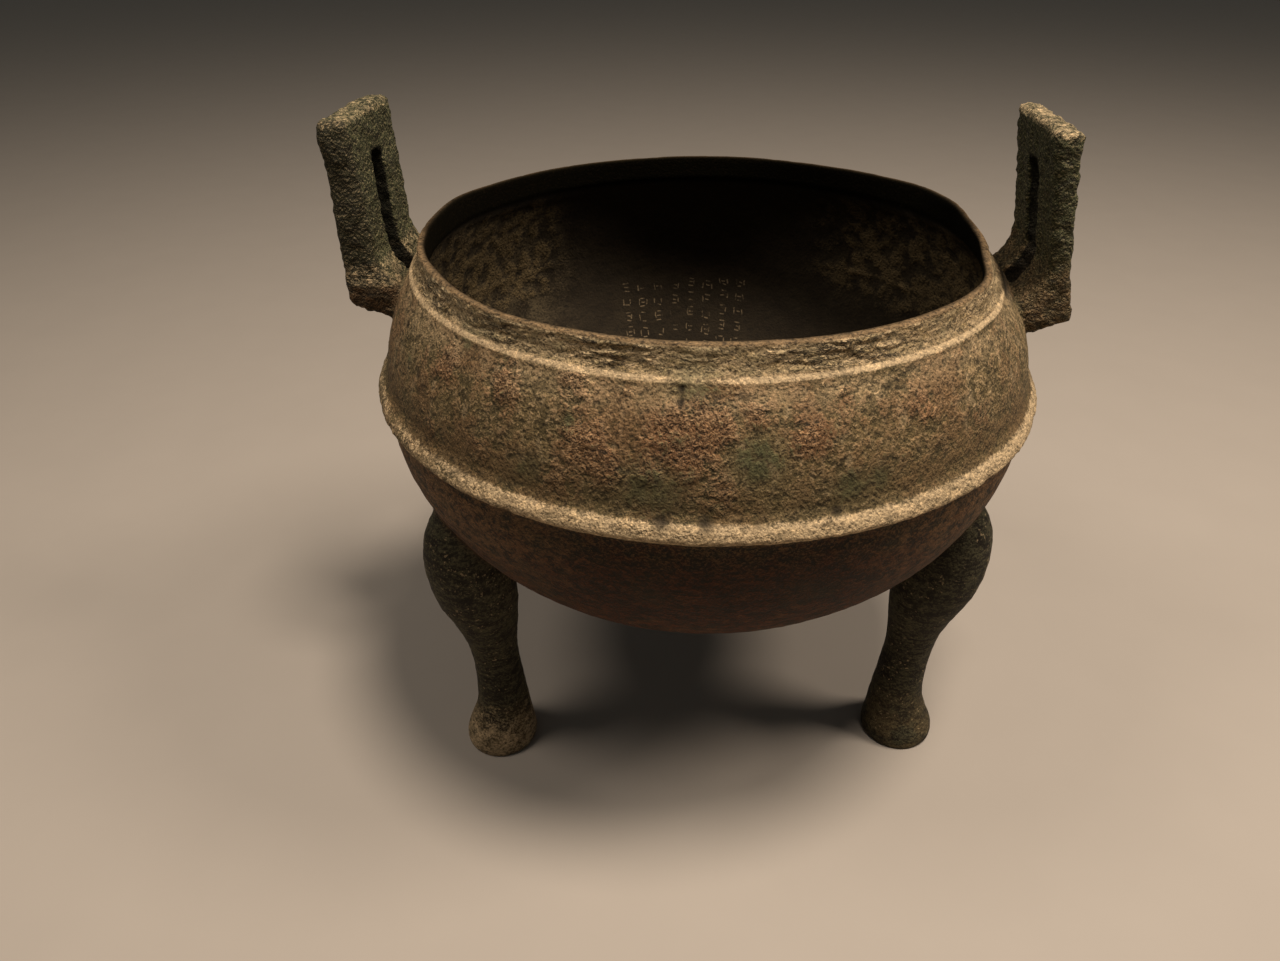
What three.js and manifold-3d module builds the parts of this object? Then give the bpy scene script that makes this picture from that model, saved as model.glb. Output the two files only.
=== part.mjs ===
// Bronze ding: a deep round bowl with an inset mouth, two upright ears on the
// shoulder, a flange round the belly and three hoofed legs, cast as one piece.
// Millimetres, +Z up, ground at Z = 0, bowl axis on Z, front towards -Y,
// ears towards -X and +X.
import * as THREE from 'three';
import { mergeVertices } from 'three/addons/utils/BufferGeometryUtils.js';
import Module from 'manifold-3d';

// bowl
const MOUTH_RADIUS = 149.5;
const RIM_Z = 302;
const LIP_WALL = 4;
const BOWL_WALL = 4.5;
const NECK_Z = 291.5;
const LEDGE_RADIUS = 153.6;
const LEDGE_Z = 288.7;
const BELLY_RADIUS = 174.6;
const BELLY_Z = 216;
const BOTTOM_Z = 90;
const BELLY_POWER = 1.9;
const SHOULDER_POWER = 2.3;
const BOWL_SEGMENTS = 64;

// flange round the belly
const FLANGE_RADIUS = 180;
const FLANGE_EDGE_RADIUS = 178;
const FLANGE_UNDER_Z = 226.8;
const FLANGE_TOP_Z = 232;

// the mouth is pushed in beside the right ear: angle, spread and depth at the rim
const DENT_ANGLE = -9;
const DENT_SPREAD = 20;
const DENT_DEPTH = 7.8;
const DENT_FROM_Z = 255;

// ears
const EAR_TURN = -4.8;
const EAR_WIDTH = 71;
const EAR_HOLLOW = 4.2;
const EAR_SLOT = 14.5;
const EAR_SLOT_TOP_Z = 338;
const EAR_BASE_Z = 267;
const EAR_FOOT_HEIGHT = 14.5;
const EAR_FOOT_SLOPE = 0.37;
const EAR_INSET_RADIUS = 148;
const EAR_ROUNDING = 2.5;
const EARS = [
  { side: 180, radius: 187.3, lean: 0, topZ: 361, topThickness: 14.8, baseThickness: 17.8 },
  { side: 0, radius: 185.7, lean: -15.5, topZ: 359, topThickness: 13, baseThickness: 17 },
];

// legs
const LEG_ANGLES = [-149.3, -29.3, 90.7];
const LEG_SIDES = 20;
// height, distance of the centre from the bowl axis, radius of the section
const LEG_SECTIONS = [
  [0, 144.8, 20.4],
  [3, 144.8, 21.4],
  [9, 144.6, 20.9],
  [18, 143, 18.4],
  [30, 141.6, 15.8],
  [48, 142, 14.2],
  [66, 143.2, 13.6],
  [84, 144.4, 15.2],
  [100, 146.2, 18.8],
  [115, 149, 22],
  [130, 151.5, 23.2],
  [146, 154, 21.8],
  [162, 155.5, 18],
  [176, 154.5, 12],
  [185, 151, 7],
];

const wasm = await Module();
wasm.setup();
const { Manifold, Mesh } = wasm;

// Moves a point of the bowl inwards where the mouth is pushed in.
function dent(point) {
  const rise = (point[2] - DENT_FROM_Z) / (RIM_Z - DENT_FROM_Z);
  const radius = Math.hypot(point[0], point[1]);
  if (rise <= 0 || radius < 1) return;
  const angle = THREE.MathUtils.radToDeg(Math.atan2(point[1], point[0]));
  const off = (angle - DENT_ANGLE) / DENT_SPREAD;
  const depth = DENT_DEPTH * Math.min(rise, 1) ** 2 * Math.exp(-(off ** 4));
  point[0] *= 1 - depth / radius;
  point[1] *= 1 - depth / radius;
}

function toSolid(geometry) {
  const bare = new THREE.BufferGeometry();
  bare.setAttribute('position', geometry.getAttribute('position').clone());
  if (geometry.index) bare.setIndex(geometry.index.clone());
  const merged = mergeVertices(bare, 1e-4);
  const mesh = new Mesh({
    numProp: 3,
    vertProperties: new Float32Array(merged.attributes.position.array),
    triVerts: new Uint32Array(merged.index.array),
  });
  return new Manifold(mesh);
}

// Radius of the bowl's outside at a height below the ledge, without the flange.
function wallRadius(z) {
  if (z < BELLY_Z) {
    const drop = (BELLY_Z - z) / (BELLY_Z - BOTTOM_Z);
    return BELLY_RADIUS * Math.sqrt(1 - drop ** BELLY_POWER);
  }
  const rise = (z - BELLY_Z) / (LEDGE_Z - BELLY_Z);
  return BELLY_RADIUS - (BELLY_RADIUS - LEDGE_RADIUS) * rise ** SHOULDER_POWER;
}

// Points up the lower belly, close together where the wall turns fast.
function lowerWall(count) {
  const points = [];
  for (let i = 0; i <= count; i += 1) {
    const turn = (i / count) * Math.PI / 2;
    const z = BELLY_Z - (BELLY_Z - BOTTOM_Z) * Math.cos(turn) ** (2 / BELLY_POWER);
    points.push(new THREE.Vector2(wallRadius(z), z));
  }
  points[0].x = 0;
  return points;
}

function shoulderWall(fromZ, toZ, count) {
  const points = [];
  for (let i = 0; i <= count; i += 1) {
    const z = fromZ + (toZ - fromZ) * (i / count);
    points.push(new THREE.Vector2(wallRadius(z), z));
  }
  return points;
}

// The same curve moved inwards by the wall.
function inside(points, wall) {
  return points.map((point, i) => {
    const before = points[Math.max(i - 1, 0)];
    const after = points[Math.min(i + 1, points.length - 1)];
    const along = new THREE.Vector2().subVectors(after, before).normalize();
    const moved = new THREE.Vector2(point.x - along.y * wall, point.y + along.x * wall);
    return point.x === 0 ? new THREE.Vector2(0, point.y + wall) : moved;
  });
}

function bowlOutside() {
  const flange = [
    [BELLY_RADIUS, FLANGE_UNDER_Z - 3],
    [FLANGE_RADIUS - 1, FLANGE_UNDER_Z - 0.6],
    [FLANGE_RADIUS, FLANGE_UNDER_Z + 0.6],
    [FLANGE_EDGE_RADIUS, FLANGE_TOP_Z],
    [wallRadius(FLANGE_TOP_Z + 4) + 0.4, FLANGE_TOP_Z + 3.5],
  ];
  const ledge = [
    [LEDGE_RADIUS + 1.8, LEDGE_Z - 3],
    [LEDGE_RADIUS + 1, LEDGE_Z - 0.6],
    [LEDGE_RADIUS - 0.6, LEDGE_Z + 1],
    [MOUTH_RADIUS, NECK_Z],
  ];
  const lip = [
    [MOUTH_RADIUS, RIM_Z - 1],
    [MOUTH_RADIUS - 1, RIM_Z],
    [0, RIM_Z],
  ];
  const outline = [
    ...lowerWall(12),
    ...flange.map((p) => new THREE.Vector2(...p)),
    ...shoulderWall(FLANGE_TOP_Z + 10, LEDGE_Z - 8, 4),
    ...ledge.map((p) => new THREE.Vector2(...p)),
    ...lip.map((p) => new THREE.Vector2(...p)),
  ];
  return new THREE.LatheGeometry(outline, BOWL_SEGMENTS);
}

function bowlInside() {
  const innerRadius = MOUTH_RADIUS - LIP_WALL;
  const wall = [...lowerWall(11), ...shoulderWall(BELLY_Z + 18, LEDGE_Z - 6, 4)];
  const lip = [
    [innerRadius, NECK_Z - 3],
    [innerRadius, RIM_Z - 1],
    [innerRadius + 1, RIM_Z],
    [innerRadius + 1, RIM_Z + 10],
    [0, RIM_Z + 10],
  ];
  const outline = [
    ...inside(wall, BOWL_WALL),
    ...lip.map((p) => new THREE.Vector2(...p)),
  ];
  return new THREE.LatheGeometry(outline, BOWL_SEGMENTS);
}

// LatheGeometry turns about Y; this stands it on Z.
function upright(geometry) {
  return geometry.rotateX(Math.PI / 2);
}

// An ear is an L in side view, drawn in radius and height and drawn out along
// the ear's width; the slot then leaves two bars, each with its own foot.
function earSolid({ side, radius, lean, topZ, topThickness, baseThickness }) {
  const r = radius - EAR_ROUNDING;
  const thin = topThickness - 2 * EAR_ROUNDING;
  const thick = baseThickness - 2 * EAR_ROUNDING;
  const base = EAR_BASE_Z + EAR_ROUNDING;
  const top = topZ - EAR_ROUNDING;
  const foot = EAR_FOOT_HEIGHT - 2 * EAR_ROUNDING;
  const inset = r - EAR_INSET_RADIUS;
  const mid = (base + top) / 2;
  const bend = r + lean / 2 - EAR_HOLLOW;

  const shape = new THREE.Shape();
  shape.moveTo(r, base);
  shape.quadraticCurveTo(bend, mid, r + lean, top - 3);
  shape.lineTo(r + lean - 1, top);
  shape.lineTo(r + lean - thin + 1, top);
  shape.lineTo(r + lean - thin, top - 3);
  shape.lineTo(r - thick, base + foot + 4);
  shape.lineTo(r - thick - 3, base + foot - 0.5);
  shape.lineTo(EAR_INSET_RADIUS, base + foot - inset * EAR_FOOT_SLOPE);
  shape.lineTo(EAR_INSET_RADIUS, base - inset * EAR_FOOT_SLOPE);
  const plate = new THREE.ExtrudeGeometry(shape, {
    depth: EAR_WIDTH - 2 * EAR_ROUNDING,
    curveSegments: 5,
    bevelEnabled: true,
    bevelThickness: EAR_ROUNDING,
    bevelSize: EAR_ROUNDING,
    bevelSegments: 2,
  });
  plate.translate(0, 0, EAR_ROUNDING - EAR_WIDTH / 2);
  upright(plate);

  const slot = new THREE.BoxGeometry(80, EAR_SLOT, EAR_SLOT_TOP_Z - 200);
  slot.translate(radius - 20, 0, (EAR_SLOT_TOP_Z + 200) / 2);
  const turn = [0, 0, side + EAR_TURN];
  return toSolid(plate).subtract(toSolid(slot)).rotate(turn);
}

function legSolid(angle) {
  const radial = new THREE.Vector3(Math.cos(angle), Math.sin(angle), 0);
  const across = new THREE.Vector3(-radial.y, radial.x, 0);
  const positions = [];
  const index = [];
  for (const [z, distance, radius] of LEG_SECTIONS) {
    for (let i = 0; i < LEG_SIDES; i += 1) {
      const a = (i / LEG_SIDES) * Math.PI * 2;
      const point = radial.clone().multiplyScalar(distance + radius * Math.cos(a));
      point.addScaledVector(across, radius * Math.sin(a));
      positions.push(point.x, point.y, z);
    }
  }
  const rings = LEG_SECTIONS.length;
  for (let ring = 0; ring < rings - 1; ring += 1) {
    for (let i = 0; i < LEG_SIDES; i += 1) {
      const next = (i + 1) % LEG_SIDES;
      const a = ring * LEG_SIDES + i;
      const b = ring * LEG_SIDES + next;
      index.push(a, b, b + LEG_SIDES, a, b + LEG_SIDES, a + LEG_SIDES);
    }
  }
  const last = (rings - 1) * LEG_SIDES;
  for (let i = 1; i < LEG_SIDES - 1; i += 1) {
    index.push(0, i + 1, i);
    index.push(last, last + i, last + i + 1);
  }
  const geometry = new THREE.BufferGeometry();
  geometry.setAttribute('position', new THREE.Float32BufferAttribute(positions, 3));
  geometry.setIndex(index);
  return toSolid(geometry);
}

function vesselSolid() {
  let solid = toSolid(upright(bowlOutside())).warp(dent);
  for (const ear of EARS) solid = solid.add(earSolid(ear));
  for (const angle of LEG_ANGLES) {
    solid = solid.add(legSolid(THREE.MathUtils.degToRad(angle)));
  }
  return solid.subtract(toSolid(upright(bowlInside())).warp(dent));
}

function toGeometry(solid) {
  const mesh = solid.getMesh();
  const geometry = new THREE.BufferGeometry();
  const positions = new THREE.BufferAttribute(new Float32Array(mesh.vertProperties), 3);
  geometry.setAttribute('position', positions);
  geometry.setIndex(new THREE.BufferAttribute(new Uint32Array(mesh.triVerts), 1));
  geometry.computeVertexNormals();
  return geometry;
}

const bronze = new THREE.MeshStandardMaterial({
  color: 0x5e5238,
  roughness: 0.75,
  metalness: 0.4,
});

const vessel = new THREE.Mesh(toGeometry(vesselSolid()), bronze);
vessel.name = 'ding_vessel';

const group = new THREE.Group();
group.add(vessel);
export default group;
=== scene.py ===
import math

import bmesh
import bpy
from mathutils import Matrix, Vector, noise


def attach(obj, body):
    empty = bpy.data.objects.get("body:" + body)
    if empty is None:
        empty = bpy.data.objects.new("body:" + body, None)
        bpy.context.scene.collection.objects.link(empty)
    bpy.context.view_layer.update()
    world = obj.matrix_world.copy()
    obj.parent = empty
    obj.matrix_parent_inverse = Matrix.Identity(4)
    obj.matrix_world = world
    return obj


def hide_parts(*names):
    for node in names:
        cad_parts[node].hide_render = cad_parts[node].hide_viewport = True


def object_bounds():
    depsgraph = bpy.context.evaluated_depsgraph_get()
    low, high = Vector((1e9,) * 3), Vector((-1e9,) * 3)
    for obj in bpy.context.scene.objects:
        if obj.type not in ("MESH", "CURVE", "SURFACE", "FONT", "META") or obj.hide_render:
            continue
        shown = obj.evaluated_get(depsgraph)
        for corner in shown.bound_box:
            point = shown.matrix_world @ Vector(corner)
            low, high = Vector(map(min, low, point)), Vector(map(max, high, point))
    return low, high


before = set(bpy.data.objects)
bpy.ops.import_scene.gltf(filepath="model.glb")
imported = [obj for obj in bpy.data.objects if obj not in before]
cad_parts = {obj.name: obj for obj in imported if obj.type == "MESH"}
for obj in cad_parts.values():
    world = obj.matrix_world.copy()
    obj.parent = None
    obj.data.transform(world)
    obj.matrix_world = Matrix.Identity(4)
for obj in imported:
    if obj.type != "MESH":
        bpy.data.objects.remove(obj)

bl_info = {
    "name": "Bronze ding vessel",
    "version": (1, 0, 0),
    "blender": (4, 5, 0),
    "location": "View3D > Sidebar > Ding",
    "description": "Builds the cast bronze vessel, its patina and a plain stage",
    "category": "Object",
}

CAD_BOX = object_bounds()
MM = 0.001
FRONT, BACK = -90.0, 90.0

# parts of the casting, kept as material indices until the relief is done
PARTS = BOWL, EAR, LEG, INSIDE = range(4)
# what the relief leaves on the vertices for the patina to read
# dark holds real dark spots and the painted shade of the ear slots; pale holds wear and painted
# highlight on upward edges, ear tops and hoofs
MASKS = ("red", "green", "dark", "pale", "crust", "ear", "leg", "inside")

# how the wall turns under the belly and above it, and how far the shoulder draws in
BELLY_TURN = 1.9
SHOULDER_TURN = 2.3
SHOULDER_IN = 21 * MM
# heights of the inner wall's shoulder, and of the foot of the neck inside
INNER_SHOULDER = (0.2205, 0.2827)
INNER_NECK = 0.2885

# height of the leg's section, its distance from the bowl's axis and its radius, in mm
LEG_SECTIONS = (
    (0, 144.8, 20.6), (1.5, 144.8, 21.3), (5, 144.8, 21.5), (9, 144.6, 20.9), (18, 143, 18.4),
    (30, 141.6, 15.8), (48, 142, 14.2), (66, 143.2, 13.6), (84, 144.4, 15.2), (100, 146.2, 18.8),
    (115, 149, 22), (130, 151.5, 23.2), (146, 154, 21.8), (162, 155.5, 18), (176, 154.5, 12),
    (185, 151, 7),
)
# angles of the legs about the bowl's axis, in degrees
LEG_ANGLES = (-149.3, -29.3, 90.7)

# an ear's angle in degrees, then in mm its outer radius, lean, top, thickness at the foot
# and at the top, and how far its outer side is hollow
EARS = ((180, 187.1, 0, 359.4, 17.8, 14.4, 0.2), (0, 185.5, -15.5, 358.0, 17.2, 12.8, 3.4))
# how far both ears are turned about the bowl, in degrees
EAR_TURN = -4.8
# foot of an ear: its underside, its height, where it ends in the wall and its slope there
EAR_BASE = 0.2670
EAR_FOOT = 14.2 * MM
EAR_ROOT = 0.148
EAR_SLOPE = 0.37

# lumps of crust: place, reach and height in mm
LUMPS = (
    (-172, 28, 361, 11, 2.2), (-188, -20, 351, 7, 1.8), (-174, 12, 358, 6, 0.9),
    (-176, -20, 276, 8, 1.6), (176, 28, 356, 9, 1.2), (178, -40, 352, 6, 0.9),
    (-170, -8, 283, 6, 1.4), (-184, -22, 310, 6, 0.9), (-157, -62, 279, 4, 1.0),
)

# where the mouth is out of round: angle and spread in degrees, radius added in mm
MOUTH_SWELLS = (
    (157, 10, 3.4), (29, 8, 2.6), (58, 12, -2.0), (108, 13, -1.3), (-153, 9, -1.2),
    (-128, 10, 1.3), (-88, 9, -0.8),
)
# the dent beside the right ear: angle and spread in degrees
DENT_ANGLE, DENT_SPREAD = -9, 20
# height where the mouth starts to be out of round, and how far up it grows
PUSH_START, PUSH_SPAN = 0.255, 0.047

# radius of the shoulder in mm, which turns the angles of its patches into lengths
SHOULDER_RADIUS = 168
# crust patches on the shoulder: angle in degrees, height and radius in mm, strength up to 1
RED_PATCHES = (
    (-111, 263, 9, 1.0), (-107, 254, 8, 0.9), (-98, 270, 10, 1.0), (-92, 272, 9, 1.0),
    (-101, 254, 5, 0.8), (-86, 277, 4, 0.8), (-79, 267, 7, 1.0), (-113, 286, 8, 0.9),
    (-91, 247, 8, 0.7), (-102, 233, 10, 0.5), (-73, 281, 4, 0.6), (-138, 275, 8, 0.8),
    (-125, 276, 9, 0.9), (-128, 249, 8, 0.6), (-114, 245, 7, 0.6), (-95, 262, 9, 0.7),
    (-60, 270, 8, 0.6), (-140, 245, 7, 0.6), (-48, 255, 8, 0.5), (40, 265, 12, 0.7),
    (110, 255, 14, 0.8), (150, 262, 9, 0.6), (75, 275, 10, 0.6),
)
GREEN_PATCHES = (
    (-113, 270, 4, 0.9), (-101, 247, 14, 0.8), (-86, 260, 12, 0.8), (-73, 245, 7, 1.0),
    (-119, 246, 8, 0.6), (-96, 293, 16, 0.6), (-135, 291, 8, 0.8), (-68, 246, 6, 0.8),
    (-150, 265, 9, 0.4), (60, 255, 12, 0.7), (130, 250, 10, 0.7), (90, 280, 12, 0.5),
)
DARK_SPOTS = (
    (-97, 286, 2.2, 1.0), (-97, 281, 2.0, 1.0), (-75, 236, 3.5, 0.8), (-156, 276, 3, 0.9),
    (-146, 263, 3, 0.8), (-132, 232, 5, 0.6), (-93, 234, 5, 0.8), (-99, 234, 5, 0.8),
    (-86, 234, 4, 0.6), (-121, 238, 3, 0.6),
)
# where the crust of the neck is flaking: angle and spread in degrees
FLAKING = ((-108, 7), (-73, 13), (-150, 14), (-128, 5), (30, 30), (120, 25))

# rows of marks inside: angle of the middle column and step across in degrees, columns on
# each side of it, top and step down in mm
MARK_ANGLE, MARK_STEP, MARK_COLUMNS = 91.0, -4.1, 4
MARK_TOP, ROW_STEP = 209.0, 10.2
# size of one mark's place across and down, in mm
MARK_PLACE = (12.0, 10.4)
# strokes of a mark: middle of each in its place, half its length across and down, in mm
STROKES = (
    (-2.6, 0.0, 0.05, 1.8), (2.8, 0.3, 0.05, 1.3), (0.3, -2.9, 1.4, 0.1), (0.1, 2.7, 1.2, 0.1),
    (0.2, 0.0, 0.9, 0.1),
)

# colours of the lights, where they aim, and the left one's share of the right one's power
WARM_LIGHT, SOFT_LIGHT = (1.0, 0.90, 0.78), (1.0, 0.92, 0.82)
SKY_COLOUR = (0.90, 0.95, 0.92, 1)
LIGHT_AIM = (0, 0, 0.2)
LEFT_SHARE = 0.45
# the camera: its place, its pitch, yaw and roll in degrees, its sensor and lens in mm
CAMERA_PLACE = (-0.0358, -0.4750, 0.4514)
CAMERA_TURN = (33.09, 0.01, -0.47)
SENSOR = 36
LENS = 910 / 1280 * SENSOR  # 910 pixels in a picture 1280 wide


class DingSizes(bpy.types.PropertyGroup):
    """Sizes of the casting."""

    mouth_radius: bpy.props.FloatProperty(
        name="Mouth radius", description="Outside of the lip", default=0.1495,
        unit="LENGTH", subtype="DISTANCE")
    rim_height: bpy.props.FloatProperty(
        name="Rim height", description="Top of the lip above the floor", default=0.302,
        unit="LENGTH", subtype="DISTANCE")
    lip_wall: bpy.props.FloatProperty(
        name="Lip wall", description="Thickness of the neck and lip", default=0.004,
        unit="LENGTH", subtype="DISTANCE")
    bowl_wall: bpy.props.FloatProperty(
        name="Bowl wall", description="Thickness of the bowl", default=0.0045,
        unit="LENGTH", subtype="DISTANCE")
    ledge_height: bpy.props.FloatProperty(
        name="Ledge height", description="Edge between shoulder and neck", default=0.2887,
        unit="LENGTH", subtype="DISTANCE")
    belly_radius: bpy.props.FloatProperty(
        name="Belly radius", description="Widest part of the wall", default=0.1746,
        unit="LENGTH", subtype="DISTANCE")
    belly_height: bpy.props.FloatProperty(
        name="Belly height", description="Height of the widest part", default=0.216,
        unit="LENGTH", subtype="DISTANCE")
    bottom_height: bpy.props.FloatProperty(
        name="Bottom height", description="Underside of the bowl above the floor", default=0.090,
        unit="LENGTH", subtype="DISTANCE")
    flange_radius: bpy.props.FloatProperty(
        name="Flange radius", description="Outside of the flange", default=0.1795,
        unit="LENGTH", subtype="DISTANCE")
    dent_depth: bpy.props.FloatProperty(
        name="Dent depth", description="How far the mouth is pushed in at the right ear",
        default=0.0078, unit="LENGTH", subtype="DISTANCE")
    ear_width: bpy.props.FloatProperty(
        name="Ear width", description="Width of an ear over both bars", default=0.071,
        unit="LENGTH", subtype="DISTANCE")
    slot_width: bpy.props.FloatProperty(
        name="Slot width", description="Gap between the bars of an ear", default=0.0162,
        unit="LENGTH", subtype="DISTANCE")
    slot_top: bpy.props.FloatProperty(
        name="Slot top", description="Top of the slot above the floor", default=0.338,
        unit="LENGTH", subtype="DISTANCE")
    ear_grain: bpy.props.FloatProperty(
        name="Ear grain", description="Height of the crust grains on the ears", default=0.0008,
        unit="LENGTH", subtype="DISTANCE")
    flake_height: bpy.props.FloatProperty(
        name="Flake height", description="Height of the crust flakes on the neck",
        default=0.0006, unit="LENGTH", subtype="DISTANCE")


class DingPatina(bpy.types.PropertyGroup):
    """Colours of the patina, some also used as painted shade and highlight."""

    olive: bpy.props.FloatVectorProperty(
        name="Olive", description="Main colour of the shoulder", subtype="COLOR",
        default=(0.175, 0.120, 0.054), min=0, max=1)
    dark_olive: bpy.props.FloatVectorProperty(
        name="Dark olive", description="Darker clouds of the shoulder", subtype="COLOR",
        default=(0.080, 0.058, 0.025), min=0, max=1)
    tan: bpy.props.FloatVectorProperty(
        name="Tan", description="Dry crust on edges and high spots", subtype="COLOR",
        default=(0.420, 0.300, 0.170), min=0, max=1)
    red: bpy.props.FloatVectorProperty(
        name="Red", description="Reddish-brown crust", subtype="COLOR",
        default=(0.150, 0.070, 0.030), min=0, max=1)
    green: bpy.props.FloatVectorProperty(
        name="Green", description="Grey-green crust", subtype="COLOR",
        default=(0.060, 0.068, 0.030), min=0, max=1)
    # Dark is also painted shade on the upper and back inside of the bowl.
    dark: bpy.props.FloatVectorProperty(
        name="Dark", description="Pits and sheltered places", subtype="COLOR",
        default=(0.018, 0.012, 0.006), min=0, max=1)
    under: bpy.props.FloatVectorProperty(
        name="Under", description="Lower belly", subtype="COLOR",
        default=(0.088, 0.026, 0.008), min=0, max=1)
    leg: bpy.props.FloatVectorProperty(
        name="Leg", description="Legs", subtype="COLOR",
        default=(0.060, 0.052, 0.027), min=0, max=1)
    ear: bpy.props.FloatVectorProperty(
        name="Ear", description="Ears", subtype="COLOR",
        default=(0.050, 0.052, 0.022), min=0, max=1)
    inside: bpy.props.FloatVectorProperty(
        name="Inside", description="Inside of the bowl", subtype="COLOR",
        default=(0.085, 0.062, 0.033), min=0, max=1)
    # The blackest colour: partly the darkest patina, and painted shade inside the neck of the
    # mouth and in the ear slots.
    black_and_shade: bpy.props.FloatVectorProperty(
        name="Soot", description="Blackest places, in the mouth and the slots", subtype="COLOR",
        default=(0.006, 0.005, 0.003), min=0, max=1)


class DingStage(bpy.types.PropertyGroup):
    """Floor and lights."""

    floor: bpy.props.FloatVectorProperty(
        name="Floor", description="Colour of the floor", subtype="COLOR",
        default=(0.36, 0.305, 0.255), min=0, max=1)
    key_power: bpy.props.FloatProperty(
        name="Key light", description="Power of the light overhead", default=34.0,
        unit="POWER", min=0)
    side_power: bpy.props.FloatProperty(
        name="Side lights", description="Power of the light on the right, about twice the left",
        default=18.0, unit="POWER", min=0)
    sky: bpy.props.FloatProperty(
        name="Sky", description="Strength of the light from all round", default=0.08, min=0)


def wall_radius(size, z):
    """Outer radius of the bowl at height z, without flange and ledge."""
    if z < size.belly_height:
        drop = (size.belly_height - z) / (size.belly_height - size.bottom_height)
        return size.belly_radius * math.sqrt(max(0.0, 1 - drop ** BELLY_TURN))
    rise = (z - size.belly_height) / (size.ledge_height - size.belly_height)
    return size.belly_radius - SHOULDER_IN * rise ** SHOULDER_TURN


def lower_wall(size, rows):
    """Points (radius, height) up the lower belly, close where the wall turns fast."""
    depth = size.belly_height - size.bottom_height
    points = []
    for i in range(rows + 1):
        turn = 0.5 * math.pi * (1 - i / rows)
        z = size.belly_height - depth * math.sin(turn) ** (2 / BELLY_TURN)
        points.append((size.belly_radius * math.cos(turn), z))
    points[0] = (0.0, points[0][1])
    return points


def shoulder_wall(size, low, high, rows):
    """Points (radius, height) up the shoulder, evenly spaced in height."""
    heights = (low + (high - low) * i / rows for i in range(rows + 1))
    return [(wall_radius(size, z), z) for z in heights]


def moved_in(points, wall):
    """The curve moved square to itself towards the inside of the bowl."""
    moved = []
    for i, (r, z) in enumerate(points):
        before = points[max(i - 1, 0)]
        after = points[min(i + 1, len(points) - 1)]
        along = Vector((after[0] - before[0], after[1] - before[1])).normalized()
        moved.append((r - along.y * wall, z + along.x * wall) if r else (0.0, z + wall))
    return moved


def smooth_curve(points, spacing):
    """Points along a smooth curve through the given ones, at about the given spacing."""
    ends = [points[0], *points, points[-1]]
    curve = []
    for a, b, c, d in zip(ends, ends[1:], ends[2:], ends[3:]):
        a, b, c, d = map(Vector, (a, b, c, d))
        steps = max(1, round((c - b).length / spacing))
        for i in range(steps):
            t = i / steps
            curve.append(tuple(0.5 * (2 * b + (c - a) * t + (2 * a - 5 * b + 4 * c - d) * t * t
                                      + (3 * b - a - 3 * c + d) * t ** 3)))
    return curve + [tuple(points[-1])]


def bowl_outline(size):
    """Closed section of the bowl, from the bottom up the outside and down the inside."""
    edge = size.flange_radius
    flange = [(size.belly_radius, 0.2215), (edge - 4.3 * MM, 0.2238), (edge - 1.5 * MM, 0.2252),
              (edge - 0.1 * MM, 0.2268), (edge, 0.2282), (edge - 0.7 * MM, 0.2304),
              (edge - 2.2 * MM, 0.2325), (edge - 4.4 * MM, 0.2345),
              (wall_radius(size, 0.238), 0.238)]
    neck = size.mouth_radius
    ledge = [(wall_radius(size, 0.283), 0.283), (0.1558, 0.2857), (0.1554, 0.2872),
             (0.1546, 0.2884), (0.1534, 0.2894), (0.1521, 0.2905), (0.1510, 0.2925),
             (0.1503, 0.2955), (neck + 0.3 * MM, 0.2985), (neck, size.rim_height - 1.2 * MM),
             (neck - 0.4 * MM, size.rim_height - 0.4 * MM), (neck - 1.2 * MM, size.rim_height)]
    inner = neck - size.lip_wall
    lip = [(inner + 1.1 * MM, size.rim_height), (inner + 0.3 * MM, size.rim_height - 0.4 * MM),
           (inner, size.rim_height - 1.3 * MM), (inner, INNER_NECK)]
    outside = (lower_wall(size, 54) + smooth_curve(flange, 1.7 * MM)
               + shoulder_wall(size, 0.2412, 0.2800, 12) + smooth_curve(ledge, 1.5 * MM))
    wall = lower_wall(size, 38) + shoulder_wall(size, *INNER_SHOULDER, 16)
    inside = moved_in(wall, size.bowl_wall)
    return outside + smooth_curve(lip, 3.2 * MM) + inside[::-1]


def spun(points, steps):
    """A closed solid made by turning a section (radius, height) round the Z axis."""
    bm = bmesh.new()
    verts = [bm.verts.new((r, 0.0, z)) for r, z in points]
    edges = [bm.edges.new(pair) for pair in zip(verts, verts[1:])]
    bmesh.ops.spin(bm, geom=verts + edges, cent=(0, 0, 0), axis=(0, 0, 1),
                   angle=2 * math.pi, steps=steps, use_merge=True, use_duplicate=False)
    bmesh.ops.remove_doubles(bm, verts=bm.verts, dist=1e-6)
    bmesh.ops.recalc_face_normals(bm, faces=bm.faces)
    return bm


def polar(co):
    """Angle in degrees and radius of a point about the bowl's axis."""
    return math.degrees(math.atan2(co.y, co.x)), math.hypot(co.x, co.y)


def apart(a, b):
    """Difference of two angles, from -180 to 180 degrees."""
    return (a - b + 180) % 360 - 180


def mouth_push(size, angle, z):
    """How far the wall is moved out: in beside the right ear, out of round elsewhere."""
    rise = min(max((z - PUSH_START) / PUSH_SPAN, 0.0), 1.0)
    dent = math.exp(-(apart(angle, DENT_ANGLE) / DENT_SPREAD) ** 4)
    push = -size.dent_depth * rise ** 2 * dent
    for at, spread, swell in MOUTH_SWELLS:
        push += swell * MM * rise ** 3 * math.exp(-(apart(angle, at) / spread) ** 2)
    return push


def push_mouth(bm, size):
    """Puts the mouth out of round; the floor of the bowl stays as it is."""
    for vert in bm.verts:
        angle, radius = polar(vert.co)
        if radius > 0.1:
            vert.co.xy *= 1 + mouth_push(size, angle, vert.co.z) / radius


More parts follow.
